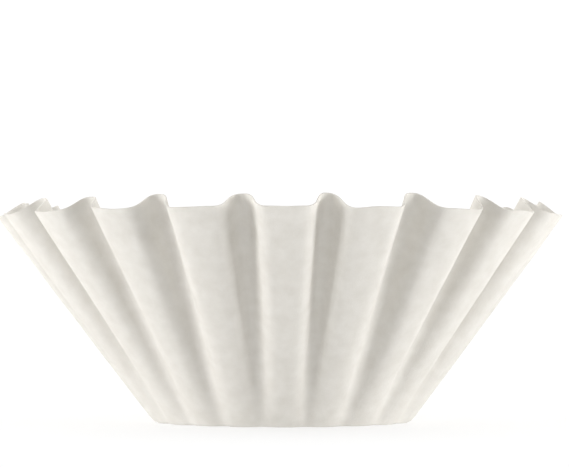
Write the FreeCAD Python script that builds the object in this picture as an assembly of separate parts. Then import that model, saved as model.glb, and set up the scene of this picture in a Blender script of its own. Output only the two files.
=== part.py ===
"""A fluted, flat-bottomed paper coffee filter, pressed from one round sheet of paper.

Millimetres, +Z up. The origin is the centre of the base's underside, and a ridge faces -Y.
Round the wall, each flute is a ridge, a flank, a valley and a flank, with a bend between each two.
Up the wall, a fold turns the flat base into a straight, leaning wall.
"""

import FreeCAD
import Part

import math
import os

# The sheet, before it is pressed
SHEET_DIAMETER = 155.0
PAPER_THICKNESS = 0.2

# The cup, measured on the middle of the paper, over the ridges
MOUTH_DIAMETER = 113.0
BASE_DIAMETER = 52.0

# The flutes
FLUTE_COUNT = 20
RIDGE_SHARE = 0.6  # the share of a flute's pitch that its ridge covers
FLANK_SHARE = 0.05  # the share that one flank covers, which is how much it leans
DEPTH_AT_RIM = 3.9
DEPTH_AT_BASE = 0.35

# The bends and the fold
BEND_SHARE = 0.04  # the share of a flute's pitch that a bend takes from its ridge or valley
BEND_DEPTH_LIMIT = 0.45  # a bend's largest share of the flute's depth, so that some flank is left
BEND_STRIPS = 2
FOLD_RADIUS = 0.8  # where the base turns up into the wall
FOLD_STRIPS = 2

OUTSIDE = 1
INSIDE = -1

half_paper = PAPER_THICKNESS / 2
pitch = 2 * math.pi / FLUTE_COUNT
bend_angle = pitch * BEND_SHARE
ridge_edge = pitch * RIDGE_SHARE / 2  # angles, counted from the middle of a ridge
valley_edge = ridge_edge + pitch * FLANK_SHARE
ridge_end = ridge_edge - bend_angle
valley_start = valley_edge + bend_angle


def point(radius, angle, height):
    """A point from its angle round the cup, counted from the ridge that faces -Y."""
    return FreeCAD.Vector(radius * math.sin(angle), -radius * math.cos(angle), height)


def run_up(base_radius, rim_radius, side):
    """The (radius, height) points of one side of the paper, up the middle of a ridge or a valley.

    The sheet is round, so its edge is as far from its centre along a valley as along a ridge.
    """
    run = rim_radius - base_radius
    rise = math.sqrt((SHEET_DIAMETER / 2 - base_radius) ** 2 - run ** 2)
    turn = math.atan2(rise, run)
    shift = side * half_paper
    fold_radius = FOLD_RADIUS + shift
    fold_start = base_radius - FOLD_RADIUS * math.tan(turn / 2)
    fold_centre = half_paper + FOLD_RADIUS
    points = []
    for step in range(FOLD_STRIPS + 1):
        angle = turn * step / FOLD_STRIPS
        points.append((fold_start + fold_radius * math.sin(angle), fold_centre - fold_radius * math.cos(angle)))
    points.append((rim_radius + shift * math.sin(turn), half_paper + rise - shift * math.cos(turn)))
    return points


def levels(side):
    """One side of the paper from the base to the rim: (ridge, valley, side) at each level."""
    base_radius, rim_radius = BASE_DIAMETER / 2, MOUTH_DIAMETER / 2
    ridges = run_up(base_radius, rim_radius, side)
    valleys = run_up(base_radius - DEPTH_AT_BASE, rim_radius - DEPTH_AT_RIM, side)
    return [(ridge, valley, side) for ridge, valley in zip(ridges, valleys)]


def bend(start, corner, end):
    """The points along a bend that leaves start for the corner and comes round to end."""
    points = []
    for step in range(BEND_STRIPS + 1):
        share = step / BEND_STRIPS
        points.append(start * (1 - share) ** 2 + corner * 2 * share * (1 - share) + end * share ** 2)
    return points


def rising_side(level):
    """The points from the end of a ridge, round its bend and down its flank, to the next valley."""
    ridge, valley, side = level
    ridge_radius, ridge_height = ridge
    valley_radius, valley_height = valley
    depth = ridge_radius - valley_radius
    flank_width = (valley_edge - ridge_edge) * valley_radius
    lean = math.atan2(flank_width, math.hypot(depth, valley_height - ridge_height))
    shift = side * half_paper * math.tan(math.pi / 4 - lean / 2)  # keeps the flank as thick as the ridge
    ridge_corner = ridge_edge + shift / ridge_radius
    valley_corner = valley_edge + shift / valley_radius

    def on_flank(down):
        """The point of the flank that is this far in from the ridge."""
        share = down / depth
        angle = ridge_corner + (valley_corner - ridge_corner) * share
        height = ridge_height + (valley_height - ridge_height) * share
        return point(ridge_radius - down, angle, height)

    ridge_bend = min(bend_angle * ridge_radius, BEND_DEPTH_LIMIT * depth)
    valley_bend = min(bend_angle * valley_radius, BEND_DEPTH_LIMIT * depth)
    ridge_side = point(ridge_radius, ridge_end, ridge_height)
    valley_side = point(valley_radius, valley_start, valley_height)
    top = bend(ridge_side, on_flank(0), on_flank(ridge_bend + shift))
    foot = bend(on_flank(depth - valley_bend + shift), on_flank(depth), valley_side)
    return top + foot


def falling_side(level):
    """The points from the end of a valley to the next ridge: the rising side, mirrored."""
    mirror = point(1, pitch / 2 + math.pi / 2, 0)  # square to the plane up the middle of the valley
    return [place - mirror * (2 * place.dot(mirror)) for place in reversed(rising_side(level))]


def strips(low_points, high_points):
    """Flat faces between two levels, two to a strip, because a strip's corners aren't in one plane."""
    faces = []
    for i in range(len(low_points) - 1):
        a, b = low_points[i], low_points[i + 1]
        c, d = high_points[i], high_points[i + 1]
        faces.append(Part.Face(Part.makePolygon([a, b, c, a])))
        faces.append(Part.Face(Part.makePolygon([b, d, c, b])))
    return faces


def round_face(low, high, start, end):
    """The round face between two levels up a ridge or a valley, from one angle to another."""
    edge = Part.makeLine(point(low[0], start, low[1]), point(high[0], start, high[1]))
    return edge.revolve(FreeCAD.Vector(), FreeCAD.Vector(0, 0, 1), math.degrees(end - start))


def band(low, high):
    """One flute's faces between two levels."""
    faces = strips(rising_side(low), rising_side(high))
    falling = strips(falling_side(low)[::-1], falling_side(high)[::-1])
    ridge_face = round_face(low[0], high[0], -ridge_end, ridge_end)
    valley_face = round_face(low[1], high[1], valley_start, pitch - valley_start)
    return faces + falling + [ridge_face, valley_face]


def arc(radius, start, end, height):
    """A level arc round the cup's axis."""
    middle = (start + end) / 2
    places = [point(radius, angle, height) for angle in (start, middle, end)]
    return Part.Arc(*places).toShape()


def outline(level):
    """One flute's edges at one level."""
    edges = []
    for places in (rising_side(level), falling_side(level)):
        edges += [Part.makeLine(a, b) for a, b in zip(places, places[1:])]
    (ridge_radius, ridge_height), (valley_radius, valley_height), _ = level
    edges.append(arc(ridge_radius, -ridge_end, ridge_end, ridge_height))
    edges.append(arc(valley_radius, valley_start, pitch - valley_start, valley_height))
    return edges


def all_round(shapes):
    """Copies of one flute's shapes, one set for each flute."""
    axis = FreeCAD.Vector(0, 0, 1)
    turned = []
    for index in range(FLUTE_COUNT):
        turned += [shape.rotated(FreeCAD.Vector(), axis, 360 / FLUTE_COUNT * index) for shape in shapes]
    return turned


def base_face(level):
    """The flat of the base on one side of the paper."""
    return Part.Face(Part.Wire(Part.sortEdges(all_round(outline(level)))[0]))


def filter_paper():
    """The whole filter, as one closed solid: both sides of the paper and the cut edge at the rim."""
    outside, inside = levels(OUTSIDE), levels(INSIDE)
    flute = band(outside[-1], inside[-1])
    for side_levels in (outside, inside):
        for low, high in zip(side_levels, side_levels[1:]):
            flute += band(low, high)
    shell = Part.makeShell(all_round(flute) + [base_face(outside[0]), base_face(inside[0])])
    shell.sewShape()
    solid = Part.makeSolid(Part.Shell(shell.Faces))
    if solid.Volume < 0:
        solid.reverse()
    return solid


def main():
    os.makedirs("parts", exist_ok=True)
    solid = filter_paper()
    solid.exportStep("parts/filter_paper.step")
    box = solid.BoundBox
    print("valid", solid.isValid(), "faces", len(solid.Faces), "volume", round(solid.Volume, 1))
    print("box", [round(v, 3) for v in (box.XMin, box.YMin, box.ZMin, box.XMax, box.YMax, box.ZMax)])
    print("rim height over a ridge and over a valley", [round(r[-1][1], 2) for r in (
        run_up(BASE_DIAMETER / 2, MOUTH_DIAMETER / 2, 0),
        run_up(BASE_DIAMETER / 2 - DEPTH_AT_BASE, MOUTH_DIAMETER / 2 - DEPTH_AT_RIM, 0),
    )])
    print("paper area", round(solid.Area / 2), "flat sheet area", round(math.pi * SHEET_DIAMETER ** 2 / 4))


main()
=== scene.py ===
"""The fluted paper coffee filter, dressed: thin pressed paper, standing on a pale studio floor.

Metres, +Z up. The paper is one closed mesh: its middle surface is worked out as rows of points
from the middle of the base to the rim, and each side lies half the paper's thickness from it.
"""

import math

import bpy
import numpy as np
from mathutils import Matrix, Vector


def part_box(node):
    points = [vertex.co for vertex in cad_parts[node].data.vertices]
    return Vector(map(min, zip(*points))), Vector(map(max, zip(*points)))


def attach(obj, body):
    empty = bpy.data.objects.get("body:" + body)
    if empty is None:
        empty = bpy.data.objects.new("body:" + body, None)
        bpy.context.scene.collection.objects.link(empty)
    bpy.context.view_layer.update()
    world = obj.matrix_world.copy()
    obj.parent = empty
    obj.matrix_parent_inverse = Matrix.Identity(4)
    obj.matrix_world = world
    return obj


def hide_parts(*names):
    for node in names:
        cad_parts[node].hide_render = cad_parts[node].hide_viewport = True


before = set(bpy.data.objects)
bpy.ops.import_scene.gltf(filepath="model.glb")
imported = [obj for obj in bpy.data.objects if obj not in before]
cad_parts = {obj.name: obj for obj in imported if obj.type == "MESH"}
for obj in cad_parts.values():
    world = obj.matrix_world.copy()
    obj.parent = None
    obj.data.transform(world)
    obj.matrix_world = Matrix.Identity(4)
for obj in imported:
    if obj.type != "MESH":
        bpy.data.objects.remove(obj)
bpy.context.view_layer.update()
box_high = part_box("filter_paper")[1]

# The paper and the cup, with its mouth from the frame
SHEET_RADIUS = 0.0775
PAPER_THICKNESS = 0.0002
HALF_PAPER = PAPER_THICKNESS / 2
BASE_RADIUS = 0.026
RIM_RADIUS = box_high.x - HALF_PAPER
FOLD_RADIUS = 0.0008

# The flutes
FLUTE_COUNT = 20
PITCH = 2 * math.pi / FLUTE_COUNT
DEPTH_AT_RIM = 0.0039
DEPTH_AT_BASE = 0.00035
FLANK_MIDDLE = PITCH * 0.34  # angles are counted from the middle of a ridge
FLANK_WIDTH = 0.0017
BEND_WIDTH = 0.0018  # what a bend takes from its ridge or valley
BEND_SHARE = 0.85  # the largest share of a ridge or valley that its bend takes
BEND_DEPTH_LIMIT = 0.45  # a bend's largest share of the flute's depth, so that some flank is left
RIDGE_SPREAD = PITCH * 0.015  # how much wider half a ridge is at the rim, and narrower at the base

# Steps across half a flute, and rows of points up the paper
RIDGE_STEPS = 5
BEND_STEPS = 5
FLANK_STEPS = 2
VALLEY_STEPS = 3
BASE_ROWS = 9
BASE_POWER = 1.5  # draws the base's rows towards the fold
FOLD_ROWS = 6
WALL_ROWS = 42
EVEN_SHARE = 0.65  # how evenly the wall's rows are spaced; the rest draws them to the fold and the rim

# How the pressed paper departs from its die
SEED = 155
TWIST = math.radians(0.35)  # how far a flute leans to one side at the rim
FRONT_TURN = math.radians(0.6)  # how far the front ridge is out of its place, to the right
FRONT_TURN_WIDTH = math.radians(9)  # how far round from it that turn dies away
OUT_OF_ROUND = 0.0004
FLUTE_SPREAD = 0.0002  # how much one flute's height differs from the next one's
CROWN = 0.0009  # how far a ridge bulges between its edges at the rim
VALLEY_SAG = 0.0001  # how far a valley bulges inwards there
COCKLE = 0.000024  # height of the soft ripples in the paper
BASE_DOME = 0.00025  # how far the middle of the base is lifted
DOME_UNEVENNESS = 0.25
RIM_WANDER = 0.00018  # how far the rim wanders up and down
RIM_POWER = 6  # keeps the wander close to the rim
MARK_HEIGHT = 0.0001  # how far the base is lifted where a valley runs into it
MARK_LENGTH = 0.0022  # how far in over the base that lift dies away
MARK_FADE = 0.1  # the share of the wall over which it dies away upwards

# Random waves: (fewest round the cup, one more than the most, radians up the wall, how many are added up)
TWIST_WAVES = (2, 9, 1.0, 6)
ROUND_WAVES = (2, 4, 0.5, 3)
RIM_WAVES = (9, 46, 1.0, 9)
DOME_WAVES = (1, 5, 3.0, 4)
COCKLE_WAVES = (8, 60, 26.0, 26)

# Dents near the rim: (degrees round from the front, share of the way up, width, height, depth)
DENTS = (
    (-9.5, 0.86, 0.0030, 0.0022, 0.00045),
    (33.0, 0.80, 0.0035, 0.0016, 0.00040),
    (-30.0, 0.90, 0.0040, 0.0014, 0.00030),
    (118.0, 0.84, 0.0038, 0.0018, 0.00035),
    (201.0, 0.88, 0.0030, 0.0020, 0.00040),
    (262.0, 0.78, 0.0042, 0.0015, 0.00030),
)

# The paper's colour, from its thin places to its dense ones, and the share of light that it lets through
THIN_COLOUR = (0.802, 0.782, 0.740, 1)
DENSE_COLOUR = (0.867, 0.851, 0.816, 1)
THIN_DENSITY = 0.27
DENSE_DENSITY = 0.78
SEE_THROUGH = 0.4

# The paper's surface, which pressing makes a little smoother along the creases
PAPER_SPECULAR = 0.25
FLAT_ROUGHNESS = 0.88
CREASED_ROUGHNESS = 0.72
CREASED_AT_BASE = 0.3  # how creased a flank counts as near the base
CREASE_GROWTH = 6  # a flank is fully creased at one part in this many up the wall
SHARP_ANGLE = math.radians(60)  # only the cut edge is sharper than this

# The paper's texture: a scale is in waves to the metre, and a detail is how many finer noises it adds
CLOUD_SCALE = 420.0
CLOUD_DETAIL = 4.0
LONG_FIBRE_SCALE = 1100.0
SHORT_FIBRE_SCALE = 2300.0
FIBRE_DETAIL = 1.0
FIBRE_CURL = 0.8
NOISE_MIDDLE = 0.5
FIBRE_WIDTH = 0.02  # in the noise's own units, to each side of its middle value
FIBRE_TINT = 0.12  # how much denser the paper is at a fibre
FIBRE_HEIGHT = 0.35  # a share of the tooth's height
TOOTH_SCALE = 3600.0
TOOTH_DETAIL = 3.0
BUMP_STRENGTH = 0.7
BUMP_HEIGHT = 0.00006


def wall_profile(base_radius, rim_radius):
    """The paper's radius and height at each row of the fold and the wall.

    The sheet is round, so its edge climbs higher along a valley than along a ridge.
    """
    run = rim_radius - base_radius
    rise = math.sqrt((SHEET_RADIUS - base_radius) ** 2 - run ** 2)
    turn = math.atan2(rise, run)
    angle = np.linspace(0, turn, FOLD_ROWS)
    fold_radius = base_radius - FOLD_RADIUS * math.tan(turn / 2) + FOLD_RADIUS * np.sin(angle)
    fold_height = HALF_PAPER + FOLD_RADIUS * (1 - np.cos(angle))
    share = wall_share()
    radius = fold_radius[-1] + (rim_radius - fold_radius[-1]) * share
    height = fold_height[-1] + (HALF_PAPER + rise - fold_height[-1]) * share
    return np.append(fold_radius, radius), np.append(fold_height, height)


def wall_share():
    """The share of the wall's length at each row, closer together at the fold and the rim."""
    step = np.linspace(0, 1, WALL_ROWS + 1)[1:]
    return EVEN_SHARE * step + (1 - EVEN_SHARE) * (1 - np.cos(math.pi * step)) / 2


def flute_edges(radius):
    """The angles at which a ridge ends and a valley starts."""
    half_flank = FLANK_WIDTH / radius / 2
    return FLANK_MIDDLE - half_flank, FLANK_MIDDLE + half_flank


def half_flute(ridge_radius, ridge_height, valley_radius, valley_height):
    """Half a flute at one level, from the middle of a ridge to the middle of a valley.

    It gives the points as (radius, angle, height), and how much of a ridge each one is, from 0 to 1.
    """
    depth = ridge_radius - valley_radius
    flank_bend = min(BEND_WIDTH, BEND_DEPTH_LIMIT * depth)
    ridge_edge, valley_edge = flute_edges(ridge_radius)
    ridge = np.array([ridge_radius, 0, ridge_height])
    valley = np.array([valley_radius, 0, valley_height])
    turn = np.array([0, 1, 0])

    def on_flank(down):
        """The point of the flank that is this far in from the ridge."""
        share = down / depth
        angle = ridge_edge + (valley_edge - ridge_edge) * share
        return ridge + (valley - ridge) * share + turn * angle

    def bend(start, corner, end):
        """The points along a bend that leaves start for the corner and comes round towards end."""
        share = (np.arange(BEND_STEPS) / BEND_STEPS)[:, None]
        return start * (1 - share) ** 2 + corner * 2 * share * (1 - share) + end * share ** 2

    bend_angle = BEND_WIDTH / ridge_radius
    ridge_end = ridge_edge - min(bend_angle, BEND_SHARE * ridge_edge)
    valley_start = valley_edge + min(bend_angle, BEND_SHARE * (PITCH / 2 - valley_edge))
    top = on_flank(flank_bend)
    foot = on_flank(depth - flank_bend)
    across_ridge = ridge + turn * (ridge_end * np.arange(RIDGE_STEPS) / RIDGE_STEPS)[:, None]
    down_flank = top + (foot - top) * (np.arange(FLANK_STEPS) / FLANK_STEPS)[:, None]
    valley_angle = np.linspace(valley_start, PITCH / 2, VALLEY_STEPS + 1)
    across_valley = valley + turn * valley_angle[:, None]
    points = np.concatenate([
        across_ridge,
        bend(ridge + turn * ridge_end, on_flank(0), top),
        down_flank,
        bend(foot, on_flank(depth), valley + turn * valley_start),
        across_valley,
    ])
    return points, (points[:, 0] - valley_radius) / depth


def die_surface():
    """The paper's middle as the die leaves it: the (radius, angle, height) of every row and column.

    It also gives how much of a ridge each point is, and for each row its share of the way up the wall
    and of the way out over the base.
    """
    ridge_radius, ridge_height = wall_profile(BASE_RADIUS, RIM_RADIUS)
    valley_radius, valley_height = wall_profile(BASE_RADIUS - DEPTH_AT_BASE, RIM_RADIUS - DEPTH_AT_RIM)
    rows = []
    ridge_rows = []
    for level in zip(ridge_radius, ridge_height, valley_radius, valley_height):
        half, ridge = half_flute(*level)
        mirrored = half[-2:0:-1] * [1, -1, 1] + [0, PITCH, 0]
        flute = np.concatenate([half, mirrored])
        rows.append(np.concatenate([flute + [0, PITCH * index, 0] for index in range(FLUTE_COUNT)]))
        ridge_rows.append(np.tile(np.append(ridge, ridge[-2:0:-1]), FLUTE_COUNT))
    rings = 1 - (1 - np.arange(1, BASE_ROWS) / BASE_ROWS) ** BASE_POWER
    base = [rows[0] * [ring, 1, 1] for ring in rings]
    points = np.array(base + rows)
    ridge = np.array([ridge_rows[0]] * len(base) + ridge_rows)
    share = np.concatenate([np.zeros(len(base) + FOLD_ROWS), wall_share()])[:, None]
    ring = np.concatenate([rings, np.ones(len(rows))])[:, None]
    return points, ridge, share, ring


def wrapped(angle, period):
    """The angle, moved by whole periods to where it is nearest to 0."""
    return (angle + period / 2) % period - period / 2


def ripple(random, angle, along, waves):
    """A soft random wave of about unit height, which closes round the cup."""
    fewest, limit, steepest, count = waves
    total = np.zeros(np.broadcast(angle, along).shape)
    for _ in range(count):
        around = random.integers(fewest, limit)
        up = random.uniform(-1, 1) * steepest
        phase = random.uniform(0, 2 * math.pi)
        total += np.cos(around * angle + up * along + phase)
    return total / math.sqrt(count / 2)


def each_flute(random, angle):
    """A random value for each flute, joined smoothly round the cup."""
    values = random.normal(0, 1, FLUTE_COUNT)
    place = (angle / PITCH) % FLUTE_COUNT
    low = np.floor(place).astype(int) % FLUTE_COUNT
    share = place - np.floor(place)
    blend = share * share * (3 - 2 * share)
    return values[low] * (1 - blend) + values[(low + 1) % FLUTE_COUNT] * blend


def pressed_surface():
    """The paper's middle as points in space, with the small faults that pressing leaves.

    It also gives how much of a ridge each point is, and each row's share of the way up the wall.
    """
    random = np.random.default_rng(SEED)
    points, ridge, share, ring = die_surface()
    radius, angle, height = points[..., 0].copy(), points[..., 1].copy(), points[..., 2].copy()
    die_angle = points[..., 1]

    angle += RIDGE_SPREAD * (2 * share - 1) * np.sin(2 * math.pi * die_angle / PITCH)
    angle += FRONT_TURN * np.exp(-(wrapped(die_angle, 2 * math.pi) / FRONT_TURN_WIDTH) ** 2)
    angle += TWIST * share * ripple(random, die_angle, share, TWIST_WAVES)
    radius += OUT_OF_ROUND * share * ripple(random, die_angle, share, ROUND_WAVES)
    radius += FLUTE_SPREAD * share * ridge * each_flute(random, die_angle)
    radius += FLUTE_SPREAD * share * (1 - ridge) * each_flute(random, die_angle + PITCH / 2)

    across = abs(wrapped(die_angle, PITCH))
    ridge_edge, valley_edge = flute_edges(RIM_RADIUS)
    on_ridge = np.clip(1 - (across / ridge_edge) ** 2, 0, 1)
    in_valley = np.clip(1 - ((PITCH / 2 - across) / (PITCH / 2 - valley_edge)) ** 2, 0, 1)
    radius += (CROWN * on_ridge - VALLEY_SAG * in_valley) * np.sqrt(share)
    height += RIM_WANDER * share ** RIM_POWER * ripple(random, die_angle, share, RIM_WAVES)

    from_fold = np.clip((1 - ring) * BASE_RADIUS / MARK_LENGTH + share / MARK_FADE, 0, 1)
    height += MARK_HEIGHT * (1 - ridge) * (1 - from_fold) ** 2
    unevenness = DOME_UNEVENNESS * ripple(random, die_angle, ring, DOME_WAVES)
    height += BASE_DOME * (1 - ring ** 2) * (1 + unevenness)

    place = np.stack([radius * np.sin(angle), -radius * np.cos(angle), height], axis=-1)
    normal = surface_normals(place)
    bumps = COCKLE * np.sqrt(share) * ripple(random, die_angle, share, COCKLE_WAVES)
    for degrees, up, width, tall, depth in DENTS:
        sideways = wrapped(die_angle - math.radians(degrees), 2 * math.pi) * radius
        upward = (share - up) * (SHEET_RADIUS - BASE_RADIUS)
        bumps -= depth * np.exp(-(sideways / width) ** 2 - (upward / tall) ** 2)
    return place + normal * bumps[..., None], ridge, share


def surface_normals(place):
    """Unit normals of a grid that closes sideways, pointing out of the cup."""
    across = np.roll(place, -1, axis=1) - np.roll(place, 1, axis=1)
    along = np.gradient(place, axis=0)
    normal = np.cross(across, along)
    return normal / np.linalg.norm(normal, axis=-1, keepdims=True)


def paper_faces(rows, columns):
    """The faces of the closed sheet: both sides, the middle of the base and the cut edge."""
    side = rows * columns
    column = np.arange(columns)
    following = (column + 1) % columns
    low = np.arange(rows - 1)[:, None] * columns
    high = low + columns
    outside = np.stack([low + column, low + following, high + following, high + column], -1)
    outside = outside.reshape(-1, 4)
    inside = outside[:, ::-1] + side
    top = (rows - 1) * columns
    cut_edge = np.stack([top + column, top + following, top + following + side, top + column + side], -1)
    quads = np.concatenate([outside, inside, cut_edge])
    pole = 2 * side
    under = np.stack([np.full(columns, pole), following, column], -1)
    upper = np.stack([np.full(columns, pole + 1), column + side, following + side], -1)
    return quads.tolist() + under.tolist() + upper.tolist()


def make_paper():
    """The whole filter as one closed sheet of paper."""
    middle, ridge, share = pressed_surface()
    normal = surface_normals(middle)
    rows, columns = middle.shape[:2]
    outside = (middle + normal * HALF_PAPER).reshape(-1, 3)
    inside = (middle - normal * HALF_PAPER).reshape(-1, 3)
    centre = middle[0].mean(axis=0)
    poles = np.array([centre - [0, 0, HALF_PAPER], centre + [0, 0, HALF_PAPER]])
    mesh = bpy.data.meshes.new("pressed_paper")
    mesh.from_pydata(np.concatenate([outside, inside, poles]).tolist(), [], paper_faces(rows, columns))
    mesh.shade_smooth()
    mesh.set_sharp_from_angle(angle=SHARP_ANGLE)
    half_way_down = 4 * ridge * (1 - ridge)  # 1 in the middle of a flank, and 0 on a ridge or in a valley
    creased = half_way_down * np.clip(share * CREASE_GROWTH, CREASED_AT_BASE, 1)
    values = np.concatenate([creased.ravel(), creased.ravel(), [0, 0]])
    mesh.attributes.new("creased", "FLOAT", "POINT").data.foreach_set("value", values)
    paper = bpy.data.objects.new("pressed_paper", mesh)
    bpy.context.scene.collection.objects.link(paper)
    mesh.materials.append(paper_material())
    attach(paper, "root")
    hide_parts("filter_paper")


def paper_material():
    """Thin white filter paper: matt, a little translucent, with clouds, curled fibres and a tooth."""
    material = bpy.data.materials.new("filter_paper")
    material.use_nodes = True
    nodes, links = material.node_tree.nodes, material.node_tree.links
    nodes.clear()
    place = nodes.new("ShaderNodeTexCoord").outputs["Object"]

    def noise(scale, detail, distortion=0.0):
        """A soft noise through the paper, from 0 to 1."""
        made = nodes.new("ShaderNodeTexNoise")
        made.inputs["Scale"].default_value = scale
        made.inputs["Detail"].default_value = detail
        made.inputs["Distortion"].default_value = distortion
        links.new(place, made.inputs["Vector"])
        return made.outputs["Fac"]

    def spread(value, low, high, to_low, to_high):
        """A value from one range put on another."""
        made = nodes.new("ShaderNodeMapRange")
        made.interpolation_type = "SMOOTHSTEP"
        for name, limit in (("From Min", low), ("From Max", high), ("To Min", to_low), ("To Max", to_high)):
            made.inputs[name].default_value = limit
        links.new(value, made.inputs["Value"])
        return made.outputs["Result"]

    def math_node(operation, *values):
        """The result of one sum on one or two values, each a number or another node's output."""
        made = nodes.new("ShaderNodeMath")
        made.operation = operation
        for socket, value in zip(made.inputs, values):
            if isinstance(value, float):
                socket.default_value = value
            else:
                links.new(value, socket)
        return made.outputs["Value"]

    def fibres(scale):
        """Curled fibres, which are thin lines where a noise passes through its middle value."""
        from_middle = math_node("SUBTRACT", noise(scale, FIBRE_DETAIL, FIBRE_CURL), NOISE_MIDDLE)
        return spread(math_node("ABSOLUTE", from_middle), 0.0, FIBRE_WIDTH, 1.0, 0.0)

    clouds = noise(CLOUD_SCALE, CLOUD_DETAIL)
    strands = math_node("MAXIMUM", fibres(LONG_FIBRE_SCALE), fibres(SHORT_FIBRE_SCALE))
    density = math_node("ADD", clouds, math_node("MULTIPLY", strands, FIBRE_TINT))
    tone = nodes.new("ShaderNodeValToRGB")
    tone.color_ramp.elements[0].position = THIN_DENSITY
    tone.color_ramp.elements[0].color = THIN_COLOUR
    tone.color_ramp.elements[1].position = DENSE_DENSITY
    tone.color_ramp.elements[1].color = DENSE_COLOUR
    links.new(density, tone.inputs["Fac"])

    bump = nodes.new("ShaderNodeBump")
    bump.inputs["Strength"].default_value = BUMP_STRENGTH
    bump.inputs["Distance"].default_value = BUMP_HEIGHT
    tooth = noise(TOOTH_SCALE, TOOTH_DETAIL)
    height = math_node("ADD", tooth, math_node("MULTIPLY", strands, FIBRE_HEIGHT))
    links.new(height, bump.inputs["Height"])

    creased = nodes.new("ShaderNodeAttribute")
    creased.attribute_name = "creased"
    front = nodes.new("ShaderNodeBsdfPrincipled")
    front.inputs["Specular IOR Level"].default_value = PAPER_SPECULAR
    links.new(tone.outputs["Color"], front.inputs["Base Color"])
    roughness = spread(creased.outputs["Fac"], 0.0, 1.0, FLAT_ROUGHNESS, CREASED_ROUGHNESS)
    links.new(roughness, front.inputs["Roughness"])
    links.new(bump.outputs["Normal"], front.inputs["Normal"])
    through = nodes.new("ShaderNodeBsdfTranslucent")
    links.new(tone.outputs["Color"], through.inputs["Color"])
    links.new(bump.outputs["Normal"], through.inputs["Normal"])
    sheet = nodes.new("ShaderNodeMixShader")
    sheet.inputs["Fac"].default_value = SEE_THROUGH
    links.new(front.outputs["BSDF"], sheet.inputs[1])
    links.new(through.outputs["BSDF"], sheet.inputs[2])
    output = nodes.new("ShaderNodeOutputMaterial")
    links.new(sheet.outputs["Shader"], output.inputs["Surface"])
    return material


# The studio

CAMERA_AZIMUTH = math.radians(-0.5)
CAMERA_DISTANCE = 0.528
CAMERA_SIDESTEP = 0.0004
CAMERA_HEIGHT = 0.0243
CAMERA_LOOKS_UP = math.radians(1.51)
CAMERA_LENS = 164.0
CAMERA_SENSOR = 36.0
FLOOR_RADIUS = 8.0
FLOOR_CORNERS = 64
FLOOR_TONE = 0.42
FLOOR_GLOW = 0.58
STAGE_ROUGHNESS = 0.9
FLAG_WIDTH = 3.2
FLAG_HEIGHT = 2.0
FLAG_DISTANCE = 1.0
FLAG_TONE = 0.05
SKY = 1.05
SOFT_BOX_WATTS = 6.2
SOFT_BOX_SIZE = (0.4, 0.2)
SOFT_BOX_PLACE = (0.85, -0.3, 0.08)  # to the side, back and up from the filter: it is a little before it


def make_camera():
    """The camera, low before the filter, as the photograph was taken."""
    data = bpy.data.cameras.new("camera")
    data.sensor_width = CAMERA_SENSOR
    data.lens = CAMERA_LENS
    camera = bpy.data.objects.new("camera", data)
    bpy.context.scene.collection.objects.link(camera)
    turn = Matrix.Rotation(CAMERA_AZIMUTH, 3, "Z")
    camera.location = turn @ Vector((CAMERA_SIDESTEP, -CAMERA_DISTANCE, CAMERA_HEIGHT))
    camera.rotation_euler = (math.pi / 2 + CAMERA_LOOKS_UP, 0, CAMERA_AZIMUTH)
    bpy.context.scene.camera = camera


def stage_sheet(name, corners, tone, glow=0.0):
    """A plain matt grey or white sheet of the studio, such as the floor."""
    mesh = bpy.data.meshes.new(name)
    mesh.from_pydata(corners, [], [list(range(len(corners)))])
    sheet = bpy.data.objects.new(name, mesh)
    bpy.context.scene.collection.objects.link(sheet)
    material = bpy.data.materials.new(name)
    material.use_nodes = True
    shader = material.node_tree.nodes["Principled BSDF"]
    shader.inputs["Base Color"].default_value = (tone, tone, tone, 1)
    shader.inputs["Roughness"].default_value = STAGE_ROUGHNESS
    shader.inputs["Emission Color"].default_value = (1, 1, 1, 1)
    shader.inputs["Emission Strength"].default_value = glow
    mesh.materials.append(material)
    return sheet


def make_floor():
    """A wide pale floor."""
    around = np.linspace(0, 2 * math.pi, FLOOR_CORNERS, endpoint=False)
    corners = [(FLOOR_RADIUS * math.cos(a), FLOOR_RADIUS * math.sin(a), 0) for a in around]
    stage_sheet("studio_floor", corners, FLOOR_TONE, FLOOR_GLOW)


def make_flag():
    """A dark card before the filter, out of sight, so that the light comes from the sides."""
    side = FLAG_WIDTH / 2
    corners = [(-side, 0), (side, 0), (side, FLAG_HEIGHT), (-side, FLAG_HEIGHT)]
    flag = stage_sheet("light_flag", [(x, -FLAG_DISTANCE, z) for x, z in corners], FLAG_TONE)
    flag.visible_camera = False


def make_sky():
    """An even white sky."""
    world = bpy.data.worlds.new("studio")
    world.use_nodes = True
    background = world.node_tree.nodes["Background"]
    background.inputs["Color"].default_value = (1, 1, 1, 1)
    background.inputs["Strength"].default_value = SKY
    bpy.context.scene.world = world


def make_soft_boxes():
    """A low soft box on each side."""
    sideways, back, up = SOFT_BOX_PLACE
    for name, side in (("left_box", -1), ("right_box", 1)):
        data = bpy.data.lights.new(name, "AREA")
        data.energy = SOFT_BOX_WATTS
        data.shape = "RECTANGLE"
        data.size, data.size_y = SOFT_BOX_SIZE
        soft_box = bpy.data.objects.new(name, data)
        bpy.context.scene.collection.objects.link(soft_box)
        soft_box.location = (side * sideways, back, up)
        aim = Vector((0, 0, CAMERA_HEIGHT)) - soft_box.location
        soft_box.rotation_euler = aim.to_track_quat("-Z", "Y").to_euler()


make_camera()
make_paper()
make_floor()
make_flag()
make_sky()
make_soft_boxes()
bpy.context.scene.view_settings.view_transform = "Standard"
